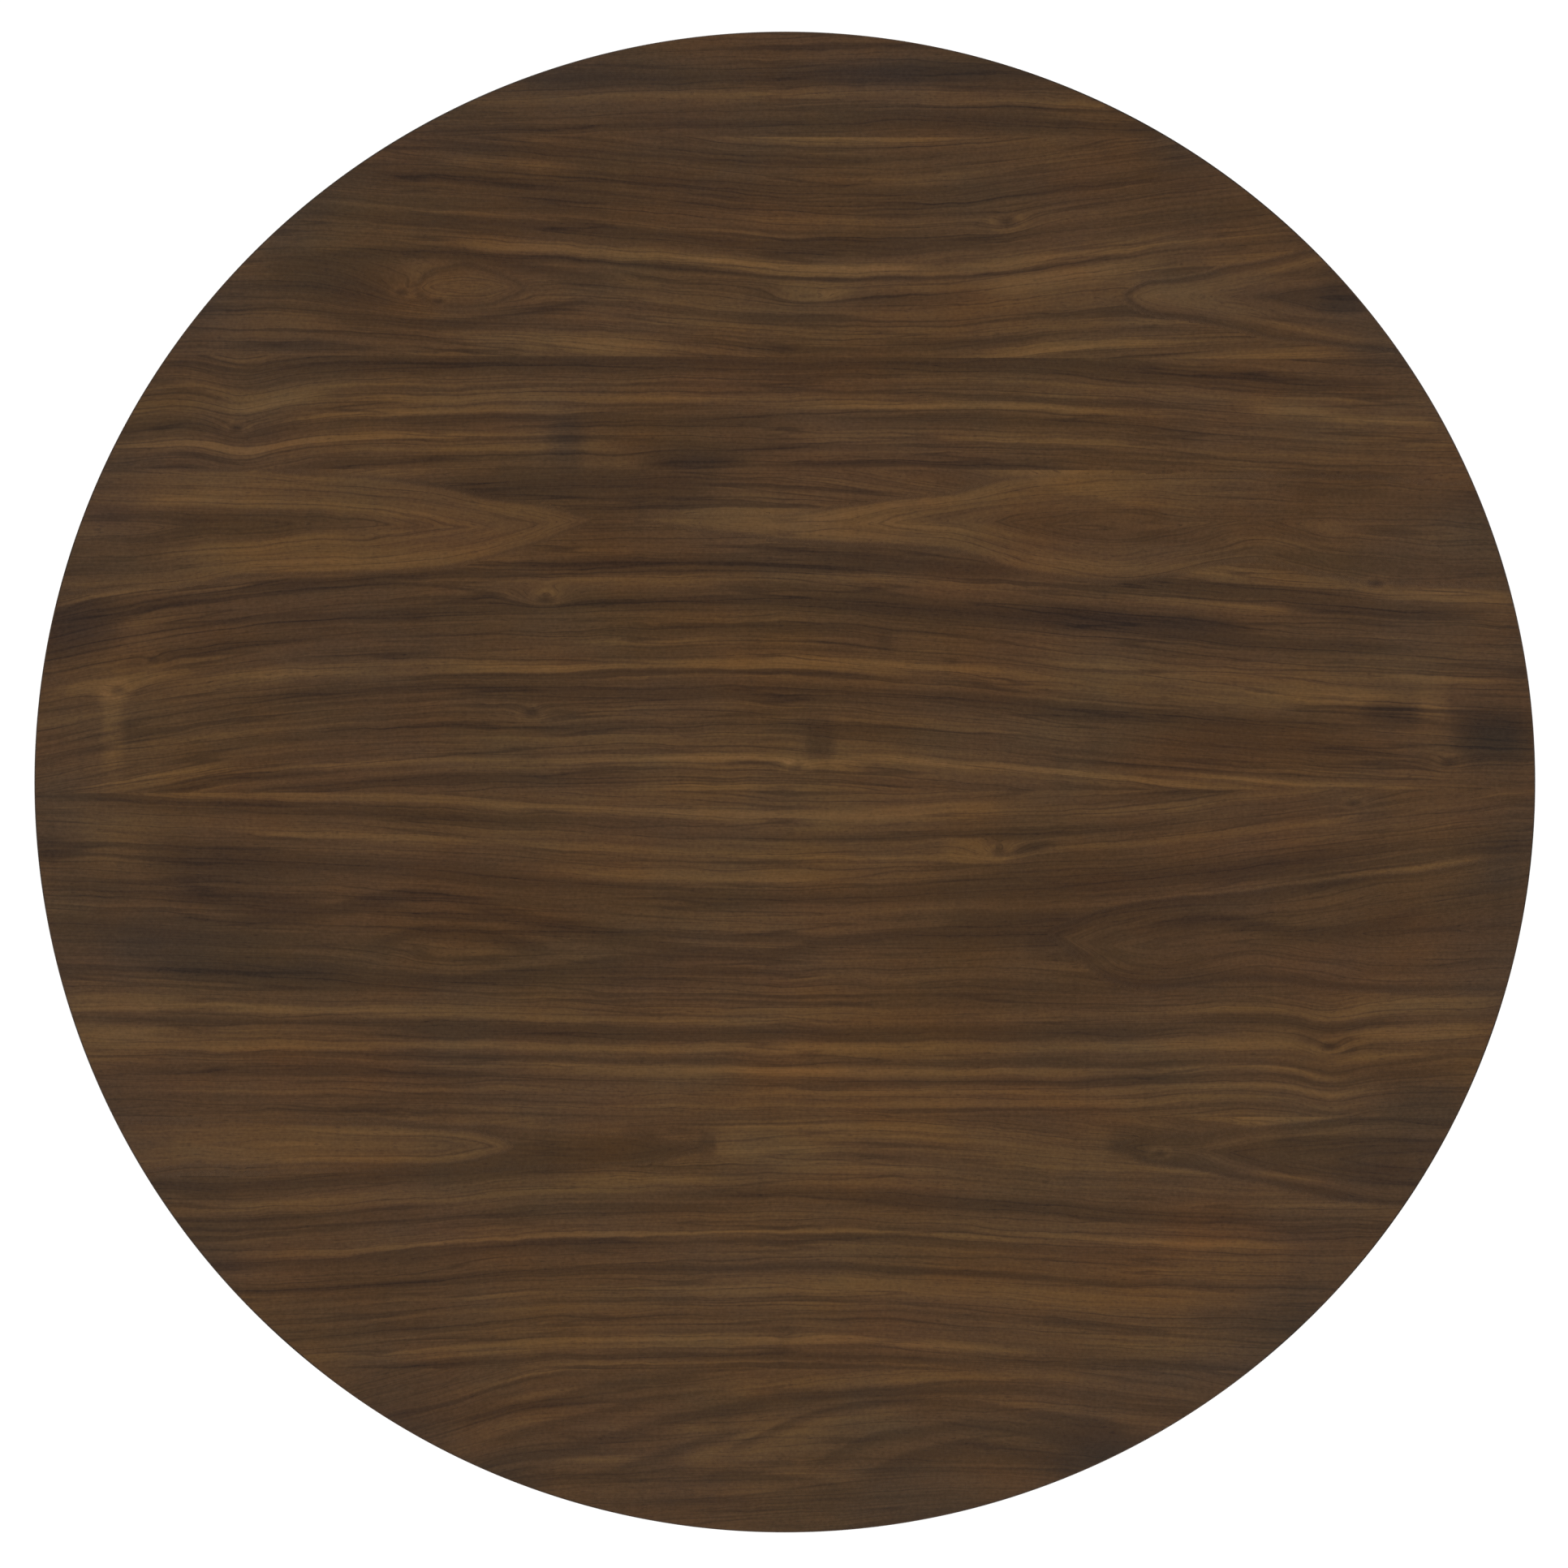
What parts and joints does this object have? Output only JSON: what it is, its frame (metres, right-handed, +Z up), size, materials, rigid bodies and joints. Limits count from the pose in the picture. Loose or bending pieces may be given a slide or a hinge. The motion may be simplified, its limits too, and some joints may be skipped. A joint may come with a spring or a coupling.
{
  "type": "tilt top table",
  "caption": "Round pedestal table whose veneered top tilts upright on a hinged block over a turned column with splayed legs.",
  "frame": {"origin": "on the floor, on the column's axis", "axes": "+Z up; the veneer's grain and the tilt axis run along X; the top lifts at +Y, where the latch is"},
  "size_m": [1.0669, 1.067, 0.74],
  "materials": {
    "walnut_veneer": "matt lacquered walnut veneer, grain along X",
    "walnut_backing": "thinly sealed walnut veneer",
    "walnut_edge": "matt lacquered walnut edge veneer",
    "walnut_solid": "turned and planed walnut, matt lacquer",
    "mdf": "medium-density fibreboard",
    "ash": "planed ash",
    "brass": "satin, slightly aged",
    "zinc_steel": "bright zinc plated",
    "black_steel": "black powder coat",
    "rubber": "matt moulded rubber",
    "nylon": "moulded nylon"
  },
  "bodies": {
    "pedestal": {"pivot_block": "walnut_solid", "pivot_pin_left": "zinc_steel", "pivot_pin_right": "zinc_steel", "pivot_washers": "brass", "strike_plate": "brass", "strike_screws": "brass", "bumpers": "rubber", "column": "walnut_solid", "tenon_wedge": "ash", "leg_1": "walnut_solid", "leg_2": "walnut_solid", "leg_3": "walnut_solid", "leg_4": "walnut_solid", "spider_plate": "black_steel", "spider_screws": "zinc_steel", "leveller_inserts": "brass"},
    "tilting_top": {"core_board": "mdf", "backing_veneer": "walnut_backing", "edge_band": "walnut_edge", "veneer_leaf_1": "walnut_veneer", "veneer_leaf_2": "walnut_veneer", "veneer_leaf_3": "walnut_veneer", "veneer_leaf_4": "walnut_veneer", "veneer_leaf_5": "walnut_veneer", "veneer_leaf_6": "walnut_veneer", "veneer_leaf_7": "walnut_veneer", "veneer_leaf_8": "walnut_veneer", "bearer_left": "walnut_solid", "bearer_right": "walnut_solid", "bearer_screws": "zinc_steel", "pivot_bush_left": "brass", "pivot_bush_right": "brass", "latch_plate": "brass", "latch_case": "brass", "latch_friction_spring": "brass", "latch_screws": "brass"},
    "latch_slide": {"latch_bolt": "brass", "latch_knob": "brass"},
    "foot_1": {"leveller_pad_1": "nylon"},
    "foot_screw_1": {"leveller_stem_1": "zinc_steel"},
    "foot_2": {"leveller_pad_2": "nylon"},
    "foot_screw_2": {"leveller_stem_2": "zinc_steel"},
    "foot_3": {"leveller_pad_3": "nylon"},
    "foot_screw_3": {"leveller_stem_3": "zinc_steel"},
    "foot_4": {"leveller_pad_4": "nylon"},
    "foot_screw_4": {"leveller_stem_4": "zinc_steel"}
  },
  "joints": [
    {"name": "top_tilt", "type": "hinge", "parent": "pedestal", "child": "tilting_top", "pos_m": [0, -0.088, 0.69], "axis": [1, 0, 0], "range_deg": [0, 90]},
    {"name": "latch_draw", "type": "slide", "parent": "tilting_top", "child": "latch_slide", "axis": [0, 1, 0], "range_m": [-0.009, 0]},
    {"name": "leveller_1_lift", "type": "slide", "parent": "pedestal", "child": "foot_1", "axis": [0, 0, 1], "range_m": [-0.01, 0]},
    {"name": "leveller_1_screw", "type": "hinge", "parent": "foot_1", "child": "foot_screw_1", "pos_m": [0.28001, 0.28001, 0], "axis": [0, 0, 1], "range_deg": [-2880, 0]},
    {"name": "leveller_2_lift", "type": "slide", "parent": "pedestal", "child": "foot_2", "axis": [0, 0, 1], "range_m": [-0.01, 0]},
    {"name": "leveller_2_screw", "type": "hinge", "parent": "foot_2", "child": "foot_screw_2", "pos_m": [-0.28001, 0.28001, 0], "axis": [0, 0, 1], "range_deg": [-2880, 0]},
    {"name": "leveller_3_lift", "type": "slide", "parent": "pedestal", "child": "foot_3", "axis": [0, 0, 1], "range_m": [-0.01, 0]},
    {"name": "leveller_3_screw", "type": "hinge", "parent": "foot_3", "child": "foot_screw_3", "pos_m": [-0.28001, -0.28001, 0], "axis": [0, 0, 1], "range_deg": [-2880, 0]},
    {"name": "leveller_4_lift", "type": "slide", "parent": "pedestal", "child": "foot_4", "axis": [0, 0, 1], "range_m": [-0.01, 0]},
    {"name": "leveller_4_screw", "type": "hinge", "parent": "foot_4", "child": "foot_screw_4", "pos_m": [0.28001, -0.28001, 0], "axis": [0, 0, 1], "range_deg": [-2880, 0]}
  ],
  "couplings": [
    {"joint": "leveller_1_screw", "follows": "leveller_1_lift", "rad_per_m": 5026.5},
    {"joint": "leveller_2_screw", "follows": "leveller_2_lift", "rad_per_m": 5026.5},
    {"joint": "leveller_3_screw", "follows": "leveller_3_lift", "rad_per_m": 5026.5},
    {"joint": "leveller_4_screw", "follows": "leveller_4_lift", "rad_per_m": 5026.5}
  ]
}
